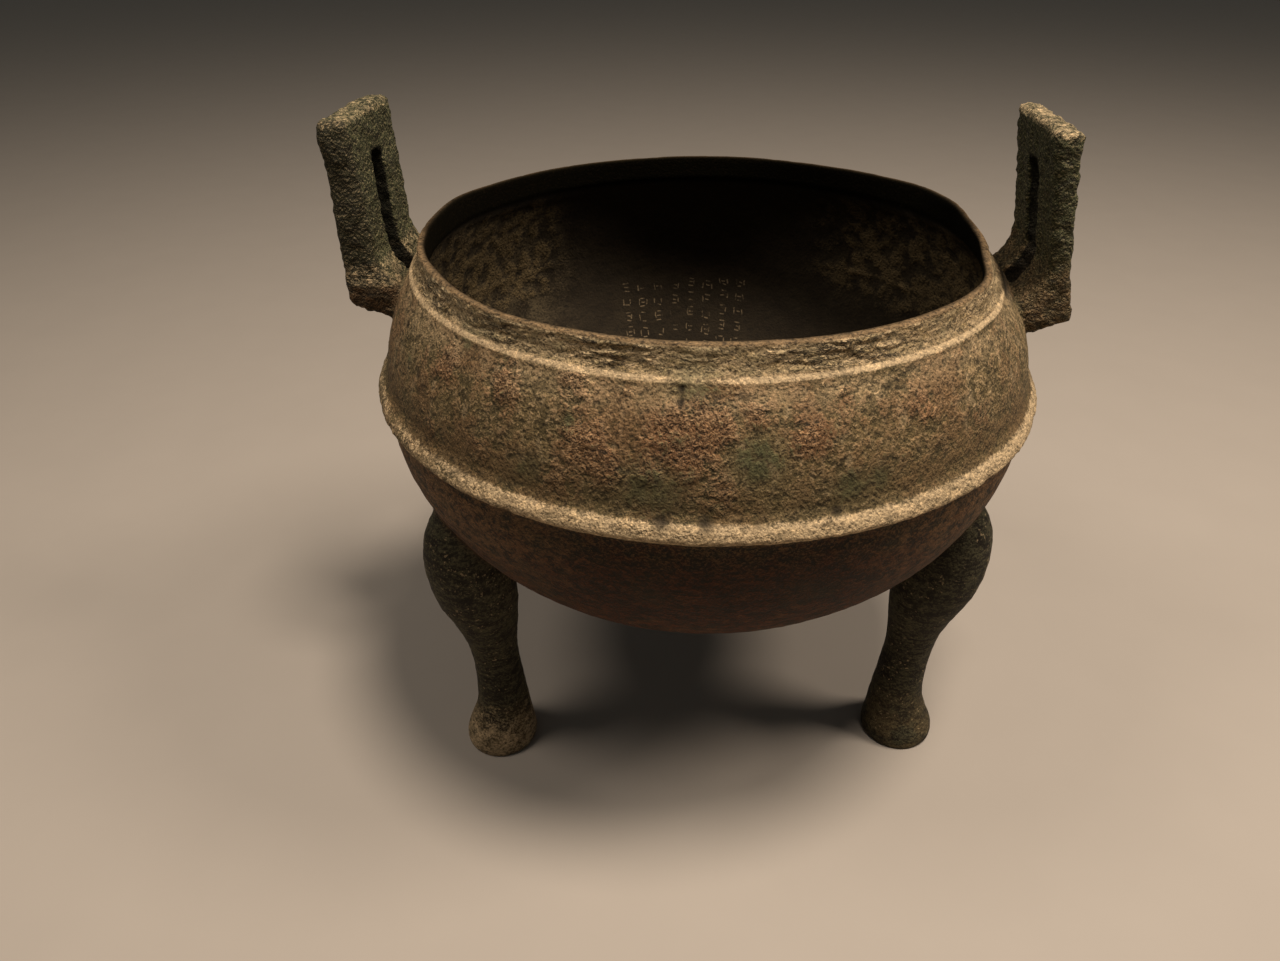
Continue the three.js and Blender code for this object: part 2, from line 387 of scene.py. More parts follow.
def refine(bm, chosen):
    """Splits the faces whose middle the test chooses, with one cut through each edge."""
    edges = {edge for face in bm.faces if chosen(face.calc_center_median()) for edge in face.edges}
    bmesh.ops.subdivide_edges(bm, edges=list(edges), cuts=1, use_grid_fill=True)


def outside_wall(size, co):
    """Whether a point near the bowl's wall is on its outer side."""
    angle, radius = polar(co)
    if co.z < 0.29:
        return radius > wall_radius(size, min(co.z, size.ledge_height)) - 2.2 * MM
    return radius > size.mouth_radius - 2 * MM + mouth_push(size, angle, co.z)


def piece_from(bm, name):
    """A new object in the scene, from a mesh that is used up."""
    mesh = bpy.data.meshes.new(name)
    bm.to_mesh(mesh)
    bm.free()
    piece = bpy.data.objects.new(name, mesh)
    bpy.context.scene.collection.objects.link(piece)
    return piece


def applied(piece):
    """Makes the piece's modifiers part of its mesh."""
    graph = bpy.context.evaluated_depsgraph_get()
    mesh = bpy.data.meshes.new_from_object(piece.evaluated_get(graph), depsgraph=graph)
    piece.modifiers.clear()
    spent, piece.data = piece.data, mesh
    bpy.data.meshes.remove(spent)


def combine(piece, other, operation):
    """Joins the other piece to this one, or cuts it away, and uses it up."""
    joint = piece.modifiers.new("combine", "BOOLEAN")
    joint.operation = operation
    joint.solver = "MANIFOLD"
    joint.object = other
    applied(piece)
    bpy.data.objects.remove(other)
    if not piece.data.polygons:
        raise RuntimeError(f"nothing is left of {piece.name}")


def mark_faces(piece, part):
    """Gives all faces of the piece the index of their part of the casting."""
    for _ in range(len(PARTS) - len(piece.data.materials)):
        piece.data.materials.append(None)
    piece.data.polygons.foreach_set("material_index", [part] * len(piece.data.polygons))


def ear_block(size, radius, lean, top, thick, thin, hollow):
    """One ear as an L in side view, drawn out along its width and slotted."""
    r, base = radius, EAR_BASE
    foot = base + EAR_FOOT
    drop = (r - EAR_ROOT) * EAR_SLOPE
    half = (base + top) / 2
    outer = []
    for i in range(9):
        t = i / 8
        bend = r + lean / 2 - hollow
        outer.append(((1 - t) ** 2 * r + 2 * t * (1 - t) * bend + t * t * (r + lean),
                      (1 - t) ** 2 * base + 2 * t * (1 - t) * half + t * t * top))
    side = outer + [(r + lean - thin, top), (r - thick + 0.2 * MM, foot + 12 * MM),
                    (r - thick - 1.6 * MM, foot + 5 * MM), (r - thick - 5.6 * MM, foot),
                    (EAR_ROOT, foot - drop), (EAR_ROOT, base - drop)]
    bm = bmesh.new()
    face = bm.faces.new([bm.verts.new((x, -size.ear_width / 2, z)) for x, z in side])
    made = bmesh.ops.extrude_face_region(bm, geom=[face])
    moved = [item for item in made["geom"] if isinstance(item, bmesh.types.BMVert)]
    bmesh.ops.translate(bm, verts=moved, vec=(0, size.ear_width, 0))
    bmesh.ops.recalc_face_normals(bm, faces=bm.faces)
    sharp = [edge for edge in bm.edges if edge.calc_face_angle() > 0.5]
    bmesh.ops.bevel(bm, geom=sharp, offset=3.6 * MM, segments=4, profile=0.5, material=-1,
                    affect="EDGES", clamp_overlap=True)
    block = piece_from(bm, "ear_block")

    low, length = 0.2, 0.08
    bm = bmesh.new()
    bmesh.ops.create_cube(bm, size=1)
    bmesh.ops.scale(bm, verts=bm.verts, vec=(length, size.slot_width, size.slot_top - low))
    bmesh.ops.translate(bm, verts=bm.verts, vec=(r - length / 4, 0, (size.slot_top + low) / 2))
    along = [edge for edge in bm.edges if all(v.co.z > 0.3 for v in edge.verts)
             and abs(edge.verts[0].co.x - edge.verts[1].co.x) > 0.01]
    bmesh.ops.bevel(bm, geom=along, offset=5.5 * MM, segments=5, profile=0.5, material=-1,
                    affect="EDGES")
    combine(block, piece_from(bm, "ear_slot"), "DIFFERENCE")
    return block


def even_skin(piece, spacing):
    """Gives the piece a mesh of even small faces, with its edges eased."""
    skin = piece.modifiers.new("skin", "REMESH")
    skin.mode = "VOXEL"
    skin.voxel_size = spacing
    skin.use_smooth_shade = True
    applied(piece)


def section_at(height):
    """Distance from the axis and radius of a leg at a height in mm."""
    rows = LEG_SECTIONS
    i = max(k for k in range(len(rows) - 1) if rows[k][0] <= height)
    low, high = rows[i], rows[i + 1]
    before, after = rows[max(i - 1, 0)], rows[min(i + 2, len(rows) - 1)]
    span = high[0] - low[0]
    t = (height - low[0]) / span
    values = []
    for k in (1, 2):
        m0 = (high[k] - before[k]) / (high[0] - before[0]) * span
        m1 = (after[k] - low[k]) / (after[0] - low[0]) * span
        values.append((2 * t ** 3 - 3 * t ** 2 + 1) * low[k] + (t ** 3 - 2 * t ** 2 + t) * m0
                      + (3 * t ** 2 - 2 * t ** 3) * high[k] + (t ** 3 - t ** 2) * m1)
    return values


def leg_block(angle):
    """A hoofed leg from rings of points, bridged one to the next."""
    bm = bmesh.new()
    turn = math.radians(angle)
    below = None
    for height in [0, 1.5, 3.2] + [5 + 2.6 * i for i in range(69)]:
        distance, radius = section_at(height)
        ring = bmesh.ops.create_circle(bm, cap_ends=False, segments=44, radius=radius * MM)
        place = (distance * MM * math.cos(turn), distance * MM * math.sin(turn), height * MM)
        bmesh.ops.translate(bm, verts=ring["verts"], vec=place)
        edges = list({edge for vert in ring["verts"] for edge in vert.link_edges})
        if below:
            bmesh.ops.bridge_loops(bm, edges=below + edges)
        below = edges
    open_edges = [edge for edge in bm.edges if edge.is_boundary]
    bmesh.ops.holes_fill(bm, edges=open_edges, sides=0)
    bmesh.ops.recalc_face_normals(bm, faces=bm.faces)
    return piece_from(bm, "leg_block")


def patches_at(patches, angle, height):
    """Sum of the patches at a place on the bowl, up to 1; each fades out from its middle."""
    total = 0.0
    for at, level, radius, strength in patches:
        across = math.radians(apart(angle, at)) * SHOULDER_RADIUS
        far = (across * across + (height - level) ** 2) / (radius * radius)
        if far < 6:
            total += strength * math.exp(-far)
    return min(total, 1.0)


def ease(low, high, value):
    """Smooth step from 0 at low to 1 at high, which may be the smaller."""
    t = min(max((value - low) / (high - low), 0.0), 1.0)
    return t * t * (3 - 2 * t)


def part_weights(bm):
    """How much of each part a vertex belongs to, spread a little over the seams."""
    weights = []
    for part in PARTS:
        values = [sum(f.material_index == part for f in v.link_faces) / max(1, len(v.link_faces))
                  for v in bm.verts]
        for _ in range(3):
            values = [0.5 * values[v.index]
                      + 0.5 * sum(values[e.other_vert(v).index] for e in v.link_edges)
                      / max(1, len(v.link_edges)) for v in bm.verts]
        weights.append(values)
    return weights


def soften_seams(bm):
    """Eases the corners where ears and legs leave the bowl."""
    seam = {vert for edge in bm.edges
            if len({face.material_index for face in edge.link_faces} - {INSIDE}) > 1
            for vert in edge.verts}
    near = set(seam)
    for _ in range(2):
        near |= {edge.other_vert(vert) for vert in near for edge in vert.link_edges}
    near = [vert for vert in near if vert.co.z > 0.08]
    for _ in range(6):
        bmesh.ops.smooth_vert(bm, verts=near, factor=0.5, use_axis_x=True, use_axis_y=True,
                              use_axis_z=True)


def relief(size, p, weights):
    """Height of the relief at a point, and the first five masks; all lengths are in mm."""
    bowl, ear, leg, inner = weights
    angle, radius = polar(p)
    z = p.z
    wide = noise.fractal(p / 26, 1.0, 2.0, 3)
    fine = noise.fractal(p / 5, 0.8, 2.0, 3)
    height = sum(swell * math.exp(-((p - Vector(place)).length / reach) ** 2)
                 for *place, reach, swell in LUMPS if (p - Vector(place)).length < 3 * reach)
    red = green = dark = pale = crust = 0.0

    # ears: grains and lumps of crust, painted shade in the slots, pale tops partly painted
    # highlight, brown feet
    if ear > 0.01:
        grains = 0.42 - noise.voronoi(p / 4.2)[0][0]
        lumps = noise.fractal(p / 12, 1.0, 2.0, 3)
        height += ear * (grains * 1.6 * size.ear_grain / MM + 0.8 * lumps + 0.5 * fine)
        crust += ear * ease(-0.3, 0.5, grains + 0.5 * lumps)
        side, top = (180 + EAR_TURN, 360.0) if p.x < 0 else (EAR_TURN, 358.5)
        across = abs(radius * math.sin(math.radians(apart(angle, side))))
        # painted shade: the walls of the slot are marked dark, as the shade deep in the slot
        dark += 1.7 * ear * (1 - ease(7.6, 8.8, across)) * (1 - ease(337, 340, z))
        # painted highlight with wear: the tops of the ears are made pale, partly as the light
        # falling on them from above
        pale += (0.42 if p.x < 0 else 0.55) * ear * ease(top - 7.0, top - 2.5, z)
        pale += (0.45 if p.x < 0 else 0.12) * ear * (1 - ease(287, 293, z)) * ease(274, 279, z)
        brown = 1 - ease(276, 284, z) if p.x < 0 else 1 - 0.9 * ease(280, 325, z)
        red += ear * 0.7 * brown

    # outside of the bowl: patches on the shoulder, flakes on the neck, chips on flange and lip
    if bowl > 0.01:
        up = ease(222, 236, z) * bowl
        under = (1 - ease(214, 226, z)) * bowl
        neck = ease(288.6, 291, z) * (1 - ease(299.5, 301.5, z)) * bowl
        band = ease(224, 226.5, z) * (1 - ease(233, 236, z)) * bowl
        shoulder = up * (1 - ease(286, 289, z))
        reds = patches_at(RED_PATCHES, angle, z)
        greens = patches_at(GREEN_PATCHES, angle, z)
        darks = patches_at(DARK_SPOTS, angle, z)
        grit = noise.fractal(p / 4.0, 0.7, 2.0, 2)
        patch = ease(0.2, 0.7, reds + 0.5 * fine)
        height += shoulder * (0.30 * wide + 0.16 * grit + patch * (0.35 + 0.7 * grit)
                              - 0.7 * darks * (0.6 + grit))
        flakes = noise.fractal(Vector((p.x / 11, p.y / 11, z / 2.6)), 0.7, 2.0, 3)
        worst = min(1.0, 0.3 + sum(0.7 * math.exp(-(apart(angle, at) / spread) ** 2)
                                   for at, spread in FLAKING))
        flaked = ease(0.0, 0.16, flakes) * neck * worst
        height += flaked * size.flake_height / MM - 0.2 * neck * worst
        height += neck * (0.35 * grit + 0.2 * fine)
        chips = noise.fractal(Vector((p.x / 9, p.y / 9, z / 14)), 0.8, 2.0, 3)
        height += band * (0.4 * wide - 0.8 * ease(0.4, 0.8, chips) + 0.3 * grit)
        height += under * (0.22 * wide + 0.22 * fine + 0.12 * grit)
        height -= 0.35 * bowl * ease(0.2, 0.6, chips) * ease(299, 301.5, z)
        red += reds * shoulder + 0.25 * up * ease(0.1, 0.6, wide)
        green += greens * up + neck * (0.2 + 0.3 * flaked)
        dark += darks * shoulder
        # painted highlight with wear: the flange band (less on the front left) and the upper edge
        # of the ledge are made pale, partly as the light on their upward faces
        left = 1 - 0.35 * ease(-112, -150, angle) * (angle < 0)
        pale += 0.78 * band * left
        edge = ease(286.8, 288, z) * (1 - ease(289.2, 290.0, z))
        pale += 0.85 * bowl * edge * (1 - 0.6 * math.exp(-(apart(angle, -95) / 5) ** 2))
        crust += patch * shoulder + neck * worst * (0.4 + 0.6 * flaked) + 0.3 * band

    # legs: fine unevenness, crust on one knee, pale hoofs as painted light, flat soles
    if leg > 0.01:
        knee = math.exp(-((z - 134) / 24) ** 2)
        knee *= ease(-34, -27, angle) if -60 < angle < 0 else 0.3
        height += leg * (0.35 * wide + (0.22 + 0.45 * knee) * fine) * ease(0.5, 6, z)
        crust += leg * knee * ease(-0.1, 0.5, fine)
        # painted light: the hoofs are made pale where light from above falls on their flare, most
        # on the left hoof
        hoof = 0.66 if angle < -100 else 0.2
        pale += leg * (hoof * (1 - ease(4, 58, z)) + 0.6 * knee)

    # inside: crust along the sides and a seam round the height of the flange
    if inner > 0.01:
        zone = ease(195, 225, z) * (1 - ease(280, 290, z))
        sides = ease(20, 45, abs(apart(angle, BACK)))
        rough = noise.fractal(p / 8, 0.8, 2.0, 3)
        height += inner * (0.25 * wide + 0.1 * fine + zone * sides * 0.9 * rough)
        seam = math.exp(-((z - 229 - 2.5 * wide) / 1.8) ** 2) * ease(-0.3, 0.1, wide + 0.2)
        height += inner * 0.9 * seam * sides
        crust += inner * sides * (zone * (0.3 + 0.7 * ease(-0.4, 0.4, rough)) + 0.5 * seam)
    return height, (red, green, dark, pale, crust)


class DING_OT_bowl(bpy.types.Operator):
    """Spins the bowl with its flange, ledge and lip, and pushes its mouth out of round"""

    bl_idname = "ding.bowl"
    bl_label = "Bowl"

    def execute(self, context):
        size = context.scene.ding_sizes
        bm = spun(bowl_outline(size), 288)
        push_mouth(bm, size)
        # finer faces on the outer front and on the inner back, which show the most
        refine(bm, lambda co: co.z > 0.2225 and abs(apart(polar(co)[0], FRONT)) < 88
               and outside_wall(size, co))
        refine(bm, lambda co: 0.195 < co.z < 0.284 and abs(apart(polar(co)[0], BACK)) < 75
               and not outside_wall(size, co))
        bowl = piece_from(bm, "ding_body")
        mark_faces(bowl, BOWL)
        for face in bowl.data.polygons:
            if not outside_wall(size, face.center) and face.center.z > 0.0915:
                face.material_index = INSIDE
        return {"FINISHED"}


class DING_OT_ears(bpy.types.Operator):
    """Makes both slotted ears and casts them onto the bowl"""

    bl_idname = "ding.ears"
    bl_label = "Ears"

    def execute(self, context):
        size = context.scene.ding_sizes
        bowl = bpy.data.objects["ding_body"]
        for side, *shape in EARS:
            ear = ear_block(size, *(value * MM for value in shape))
            even_skin(ear, 1.75 * MM)
            ear.data.transform(Matrix.Rotation(math.radians(side + EAR_TURN), 4, "Z"))
            mark_faces(ear, EAR)
            cast_on(size, bowl, ear)
        return {"FINISHED"}


class DING_OT_legs(bpy.types.Operator):
    """Makes the three hoofed legs and casts them onto the bowl"""

    bl_idname = "ding.legs"
    bl_label = "Legs"

    def execute(self, context):
        size = context.scene.ding_sizes
        bowl = bpy.data.objects["ding_body"]
        for angle in LEG_ANGLES:
            leg = leg_block(angle)
            mark_faces(leg, LEG)
            cast_on(size, bowl, leg)
        return {"FINISHED"}


def cast_on(size, bowl, part):
    """Joins a part to the bowl, with nothing of it left inside."""
    depth, above_rim = 0.55, 0.320
    wall = lower_wall(size, 30) + shoulder_wall(size, *INNER_SHOULDER, 12)
    core = moved_in(wall, size.bowl_wall * depth)
    neck = size.mouth_radius - size.lip_wall * depth
    core += [(neck, INNER_NECK), (neck, 0.296), (neck, above_rim), (0.0, above_rim)]
    bm = spun(core, 144)
    push_mouth(bm, size)
    combine(part, piece_from(bm, "core"), "DIFFERENCE")
    combine(bowl, part, "UNION")


class DING_OT_relief(bpy.types.Operator):
    """Works crust, flakes, chips and wear into the surface, and keeps their masks, with those of
    painted highlight and painted shade
    """

    bl_idname = "ding.relief"
    bl_label = "Relief"

    def execute(self, context):
        size = context.scene.ding_sizes
        piece = bpy.data.objects["ding_body"]
        bm = bmesh.new()
        bm.from_mesh(piece.data)
        bmesh.ops.remove_doubles(bm, verts=bm.verts, dist=0.15 * MM)
        bmesh.ops.dissolve_degenerate(bm, edges=bm.edges, dist=0.02 * MM)
        bm.verts.index_update()
        soften_seams(bm)
        weights = part_weights(bm)
        bm.normal_update()
        layers = {name: bm.verts.layers.float.new(name) for name in MASKS}
        moves = []
        for vert in bm.verts:
            mine = [values[vert.index] for values in weights]
            height, masks = relief(size, vert.co / MM, mine)
            for name, value in zip(MASKS, (*masks, mine[EAR], mine[LEG], mine[INSIDE])):
                vert[layers[name]] = value
            # the soles stay flat
            moves.append(vert.normal * height * MM * ease(0.4, 3.5, vert.co.z / MM))
        for vert, move in zip(bm.verts, moves):
            vert.co = [min(max(v, a), b) for v, a, b in zip(vert.co + move, *CAD_BOX)]
        for face in bm.faces:
            face.material_index = 0
            face.smooth = True
        bm.to_mesh(piece.data)
        bm.free()
        piece.data.materials.clear()
        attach(piece, "root")
        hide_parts("ding_vessel")
        return {"FINISHED"}


class Value:
    """A node socket that takes part in Python expressions."""

    def __init__(self, kit, socket):
        self.kit = kit
        self.socket = socket

    def _math(self, operation, *values):
        return self.kit.node("ShaderNodeMath", {"operation": operation}, dict(enumerate(values)))

    def __add__(self, other):
        return self._math("ADD", self, other)

    def __sub__(self, other):
        return self._math("SUBTRACT", self, other)

    def __rsub__(self, other):
        return self._math("SUBTRACT", other, self)

    def __mul__(self, other):
        return self._math("MULTIPLY", self, other)

    def __truediv__(self, other):
        return self._math("DIVIDE", self, other)

    __radd__ = __add__
    __rmul__ = __mul__

    def higher(self, other):
        return self._math("MAXIMUM", self, other)

    def lower(self, other):
        return self._math("MINIMUM", self, other)

    def size(self):
        return self._math("ABSOLUTE", self)

    def floor(self):
        return self._math("FLOOR", self)

    def ease(self, low, high):
        """Smooth step from 0 at low to 1 at high, or back where low is the greater."""
        return self.kit.node("ShaderNodeMapRange", {"interpolation_type": "SMOOTHSTEP"},
                             {"Value": self, "From Min": low, "From Max": high})


class Nodes:
    """A new node material and the ways to add to it."""

    def __init__(self, name):
        self.material = bpy.data.materials.new(name)
        self.material.use_nodes = True
        self.tree = self.material.node_tree
        self.shader = self.tree.nodes["Principled BSDF"]

    def node(self, kind, settings=None, values=None, output=0):
        made = self.tree.nodes.new(kind)
        for name, setting in (settings or {}).items():
            setattr(made, name, setting)
        for name, value in (values or {}).items():
            if isinstance(value, Value):
                self.tree.links.new(value.socket, made.inputs[name])
            else:
                made.inputs[name].default_value = value
        return Value(self, made.outputs[output])

    def vector(self, operation, first, second=None, scale=None):
        values = {0: first}
        if second is not None:
            values[1] = second
        if scale is not None:
            values["Scale"] = scale
        scalar = operation in ("DISTANCE", "DOT_PRODUCT")
        return self.node("ShaderNodeVectorMath", {"operation": operation}, values,
                         "Value" if scalar else "Vector")

    def mask(self, name):
        return self.node("ShaderNodeAttribute", {"attribute_name": name}, output="Fac")

    def noise(self, place, size, detail=3.0, roughness=0.55, stretch=None, distortion=0.0):
        """Noise from 0 to 1 whose lumps are about the given size in mm."""
        if stretch:
            place = self.vector("MULTIPLY", place, stretch)
        return self.node("ShaderNodeTexNoise", None, {
            "Vector": place, "Scale": 1 / size, "Detail": detail, "Roughness": roughness,
            "Distortion": distortion})

    def cells(self, place, size):
        """Distance to the nearest of points that lie about the given size in mm apart."""
        return self.node("ShaderNodeTexVoronoi", None, {"Vector": place, "Scale": 1 / size},
                         "Distance")

    def mix(self, factor, first, second, blend="MIX"):
        first, second = ((*c, 1) if isinstance(c, tuple) else c for c in (first, second))
        return self.node("ShaderNodeMix", {"data_type": "RGBA", "blend_type": blend},
                         {0: factor, 6: first, 7: second}, 2)

    def split(self, place):
        return [self.node("ShaderNodeSeparateXYZ", None, {0: place}, k) for k in range(3)]

    def join(self, x, y, z):
        return self.node("ShaderNodeCombineXYZ", None, {0: x, 1: y, 2: z})

    def feed(self, **inputs):
        for name, value in inputs.items():
            socket = self.shader.inputs[name.replace("_", " ")]
            if isinstance(value, Value):
                self.tree.links.new(value.socket, socket)
            else:
                socket.default_value = value


def stroke_rows(kit, x, y, z, waver):
    """Rows of short shallow strokes on the inside of the bowl, at the back."""
    angle = kit.node("ShaderNodeMath", {"operation": "ARCTAN2"}, {0: y, 1: x}) * (180 / math.pi)
    across = (angle - MARK_ANGLE) / MARK_STEP + (waver - 0.5) * 0.25
    column = across.floor()
    shift = kit.node("ShaderNodeTexWhiteNoise", {"noise_dimensions": "1D"}, {"W": column}, "Value")
    down = (MARK_TOP - z) / ROW_STEP + shift * 0.5
    row = down.floor()
    wide, high = MARK_PLACE
    local = kit.join((across - column - 0.5) * wide, (down - row - 0.5) * high, 0.0)
    strokes = None
    for number, (cx, cy, hx, hy) in enumerate(STROKES):
        chance = kit.node("ShaderNodeTexWhiteNoise", {"noise_dimensions": "4D"},
                          {"Vector": kit.join(column, row, 0.0), "W": float(number)}, "Color")
        a, b, c = kit.split(chance)
        middle = kit.join((a - 0.5) * 1.2 + cx, (b - 0.5) * 1.2 + cy, 0.0)
        reach = kit.join((c - 0.5) * 0.5 + hx, (a - 0.5) * 0.5 + hy, 0.0)
        offset = kit.vector("SUBTRACT", local, middle)
        along = (kit.vector("DOT_PRODUCT", offset, reach)
                 / kit.vector("DOT_PRODUCT", reach, reach)).higher(-1.0).lower(1.0)
        nearest = kit.vector("SCALE", reach, scale=along)
        gap = kit.vector("DISTANCE", offset, nearest) + (waver - 0.5) * 0.5
        stroke = gap.ease(0.65, 0.25) * b.ease(0.34, 0.40)
        strokes = stroke if strokes is None else strokes.higher(stroke)
    panel = across.size().ease(MARK_COLUMNS + 0.1, MARK_COLUMNS - 0.1)
    return strokes * panel * z.ease(210.5, 208.5) * z.ease(138.0, 141.0)


class DING_OT_patina(bpy.types.Operator):
    """Gives the casting its brown, red and green patina, with painted light and shade"""

    bl_idname = "ding.patina"
    bl_label = "Patina"

    def execute(self, context):
        look = context.scene.ding_patina
        kit = Nodes("old_bronze_patina")
        olive, dark_olive, tan, red, green, dark, under, leg, ear, inside, black_and_shade = (
            tuple(getattr(look, name)) for name in DingPatina.__annotations__)
        deep = kit.mix(0.5, dark, black_and_shade)
        painted_highlight = (1.75, 1.70, 1.65)
        place = kit.vector("SCALE", kit.node("ShaderNodeTexCoord", output="Object"), scale=1000.0)
        x, y, z = kit.split(place)
        masks = {name: kit.mask(name) for name in MASKS}

        # patterns, from broad clouds to grit, and what lies higher or lower than just above it,
        # which places the painted light on grains and lumps
        broad = kit.noise(place, 42, 1)
        cloud = kit.noise(place, 15, 4, 0.6)
        patchy = kit.noise(place, 6.0, 4, 0.65)
        grit = kit.noise(place, 1.5, 3, 0.7)
        over_grain = kit.vector("ADD", place, (0.0, 0.0, 0.5))
        upward = grit - kit.noise(over_grain, 1.5, 3, 0.7)
        over_lump = kit.vector("ADD", place, (0.0, 0.0, 1.6))
        lifted = patchy - kit.noise(over_lump, 6.0, 2, 0.65)
        streak = kit.noise(place, 6, 3, 0.6, stretch=(0.35, 0.35, 1.9))
        flake = kit.noise(place, 2.6, 4, 0.62, stretch=(0.34, 0.34, 1.3), distortion=0.5)
        pits = kit.cells(place, 3.4).ease(0.18, 0.07) * cloud.ease(0.45, 0.60)
        neck = z.ease(288.8, 291.0) * (1 - masks["ear"]) * (1 - masks["inside"])
        low = z.ease(226.5, 221.0)

        # shoulder
        wall = kit.mix((patchy * 0.5 + cloud * 0.5).ease(0.38, 0.62), dark_olive, olive)
        wall = kit.mix((grit * 0.65 + patchy * 0.35).ease(0.50, 0.66) * 0.6, wall, tan)
        drips = kit.noise(place, 5.0, 3, 0.6, stretch=(1.0, 1.0, 0.16))
        wall = kit.mix(drips.ease(0.54, 0.68) * z.ease(236.0, 256.0) * 0.4, wall, tan)
        wall = kit.mix((broad * 0.5 + patchy * 0.5).ease(0.46, 0.60) * 0.5, wall, red)
        reds = (masks["red"] * 0.9 + (patchy - 0.5) * 1.8 + (grit - 0.5) * 1.0).ease(0.20, 0.60)
        rusty = kit.mix(grit.ease(0.44, 0.64), red, kit.mix(0.25, red, tan))
        wall = kit.mix(reds * 0.75, wall, rusty)
        greens = (masks["green"] * 0.9 + (patchy - 0.5) * 2.2 + (grit - 0.5) * 0.8).ease(0.25, 0.8)
        wall = kit.mix(greens * 0.8, wall, green)
        wall = kit.mix((broad * 0.4 + patchy * 0.6).ease(0.48, 0.38) * 0.45, wall, dark_olive)
        dim = z.ease(268.0, 238.0) * (0.28 + patchy.ease(0.40, 0.60) * 0.25)
        wall = kit.mix(dim, wall, dark_olive)
        wall = kit.mix(z.ease(270.0, 286.0) * cloud.ease(0.3, 0.6) * 0.35, wall, tan)

        # neck and lip
        crusty = kit.mix(flake.ease(0.38, 0.60), olive, kit.mix(0.7, olive, tan))
        crusty = kit.mix(grit.ease(0.48, 0.66) * 0.5, crusty, tan)
        crusty = kit.mix(cloud.ease(0.38, 0.58) * 0.65, crusty, kit.mix(0.65, green, tan))
        crusty = kit.mix(greens * 0.3, crusty, green)
        cracks = (flake - 0.5).size().ease(0.055, 0.015) * masks["crust"] * neck
        wall = kit.mix(neck, wall, kit.mix(cracks * 0.9, crusty, dark))
        wall = kit.mix(z.ease(300.3, 301.3) * 0.7, wall, kit.mix(0.5, dark_olive, red))

        # lower belly
        belly = kit.mix((streak * 0.25 + patchy * 0.4 + grit * 0.35).ease(0.42, 0.58), deep, under)
        belly = kit.mix((broad * 0.5 + cloud * 0.5).ease(0.46, 0.62) * 0.3, belly, leg)
        belly = kit.mix((patchy * 0.6 + cloud * 0.4).ease(0.53, 0.66) * 0.4, belly, red)
        sides = x.size().ease(45.0, 130.0) * z.ease(140.0, 212.0)
        # painted shade: at the front the lower belly darkens upwards towards the flange, as the
        # shade under it
        belly = kit.mix(z.ease(135.0, 190.0) * (1 - sides) * 0.45, belly, deep)
        belly = kit.mix(sides * patchy.ease(0.34, 0.60) * 0.65, belly, kit.mix(0.5, olive, red))
        belly = kit.mix(z.ease(200.0, 222.0) * grit.ease(0.46, 0.62) * 0.25, belly, olive)
        wall = kit.mix(low, wall, belly)

        # legs
        specks = kit.noise(place, 1.8, 1).ease(0.64, 0.72) * cloud.ease(0.42, 0.6)
        cloudy = (patchy * 0.55 + grit * 0.45) * 0.7 + streak * 0.3
        legs = kit.mix(cloudy.ease(0.43, 0.58), deep, leg)
        legs = kit.mix((masks["crust"] * 0.9 + (grit - 0.5) * 1.4).ease(0.20, 0.7) * 0.8, legs,
                       kit.mix(0.35, green, tan))
        # painted light: the legs turn olive towards the hoofs, where light falls on their flare
        legs = kit.mix(z.ease(52.0, 10.0) * cloud.ease(0.36, 0.56) * 0.35, legs, olive)
        legs = kit.mix(specks * 0.55, legs, tan)

        # ears
        ears = kit.mix((grit * 0.4 + patchy * 0.6).ease(0.40, 0.58), kit.mix(0.6, dark, ear), ear)
        # painted shade: the front face of the left ear is darkened, as the side turned from the
        # light
        front = y.ease(-14.0, -18.5) * x.ease(0.0, -10.0)
        ears = kit.mix(front * 0.6, ears, deep)
        ears = kit.mix((masks["red"] + patchy - 0.5).ease(0.4, 0.9) * 0.5, ears, red)

        # inside of the bowl, with painted shade on the upper wall, at the back and inside the neck
        hollow = kit.mix((cloud * 0.6 + grit * 0.4).ease(0.35, 0.66), dark, inside)
        hollow = kit.mix((masks["crust"] + grit - 0.5).ease(0.3, 0.8) * 0.6, hollow, olive)
        # painted shade: the upper inside wall, which leans inwards over the bowl, is darkened
        hollow = kit.mix(z.ease(255.0, 285.0) * (1 - masks["crust"] * 0.5) * 0.9, hollow, dark)
        shade = y.ease(25.0, 95.0) * z.ease(120.0, 155.0) * x.ease(-112.0, -72.0)
        hollow = kit.mix(shade * (1 - masks["crust"] * 0.75) * 0.85, hollow, dark)
        # painted shade: the inside of the neck is made black
        hollow = kit.mix(z.ease(283.0, 289.0), hollow, black_and_shade)
        strokes = stroke_rows(kit, x, y, z, patchy)
        marks = strokes * masks["inside"] * patchy.ease(0.30, 0.55)
        hollow = kit.mix(marks * 0.4, hollow, tan)

        # all of it: pale edges, partly wear and partly painted highlight; painted shade under and
        # painted highlight on top of grains and lumps; pits
        colour = kit.mix(masks["ear"], wall, ears)
        colour = kit.mix(masks["leg"], colour, legs)
        colour = kit.mix(masks["inside"], colour, hollow)
        # pale places turn tan: partly wear, partly painted highlight on upward edges, ear tops and
        # hoofs
        wear_and_highlight = (masks["pale"] + (patchy - 0.5) * 1.0 + (grit - 0.5) * 0.6).ease(0.30, 0.85)
        colour = kit.mix(wear_and_highlight * (0.90 - cloud.ease(0.50, 0.62) * 0.25), colour, tan)
        smooth = 1 - masks["pale"] * 0.6
        colour = kit.mix(grit.ease(0.45, 0.33) * (0.50 + masks["crust"] * 0.35) * smooth, colour,
                         dark)
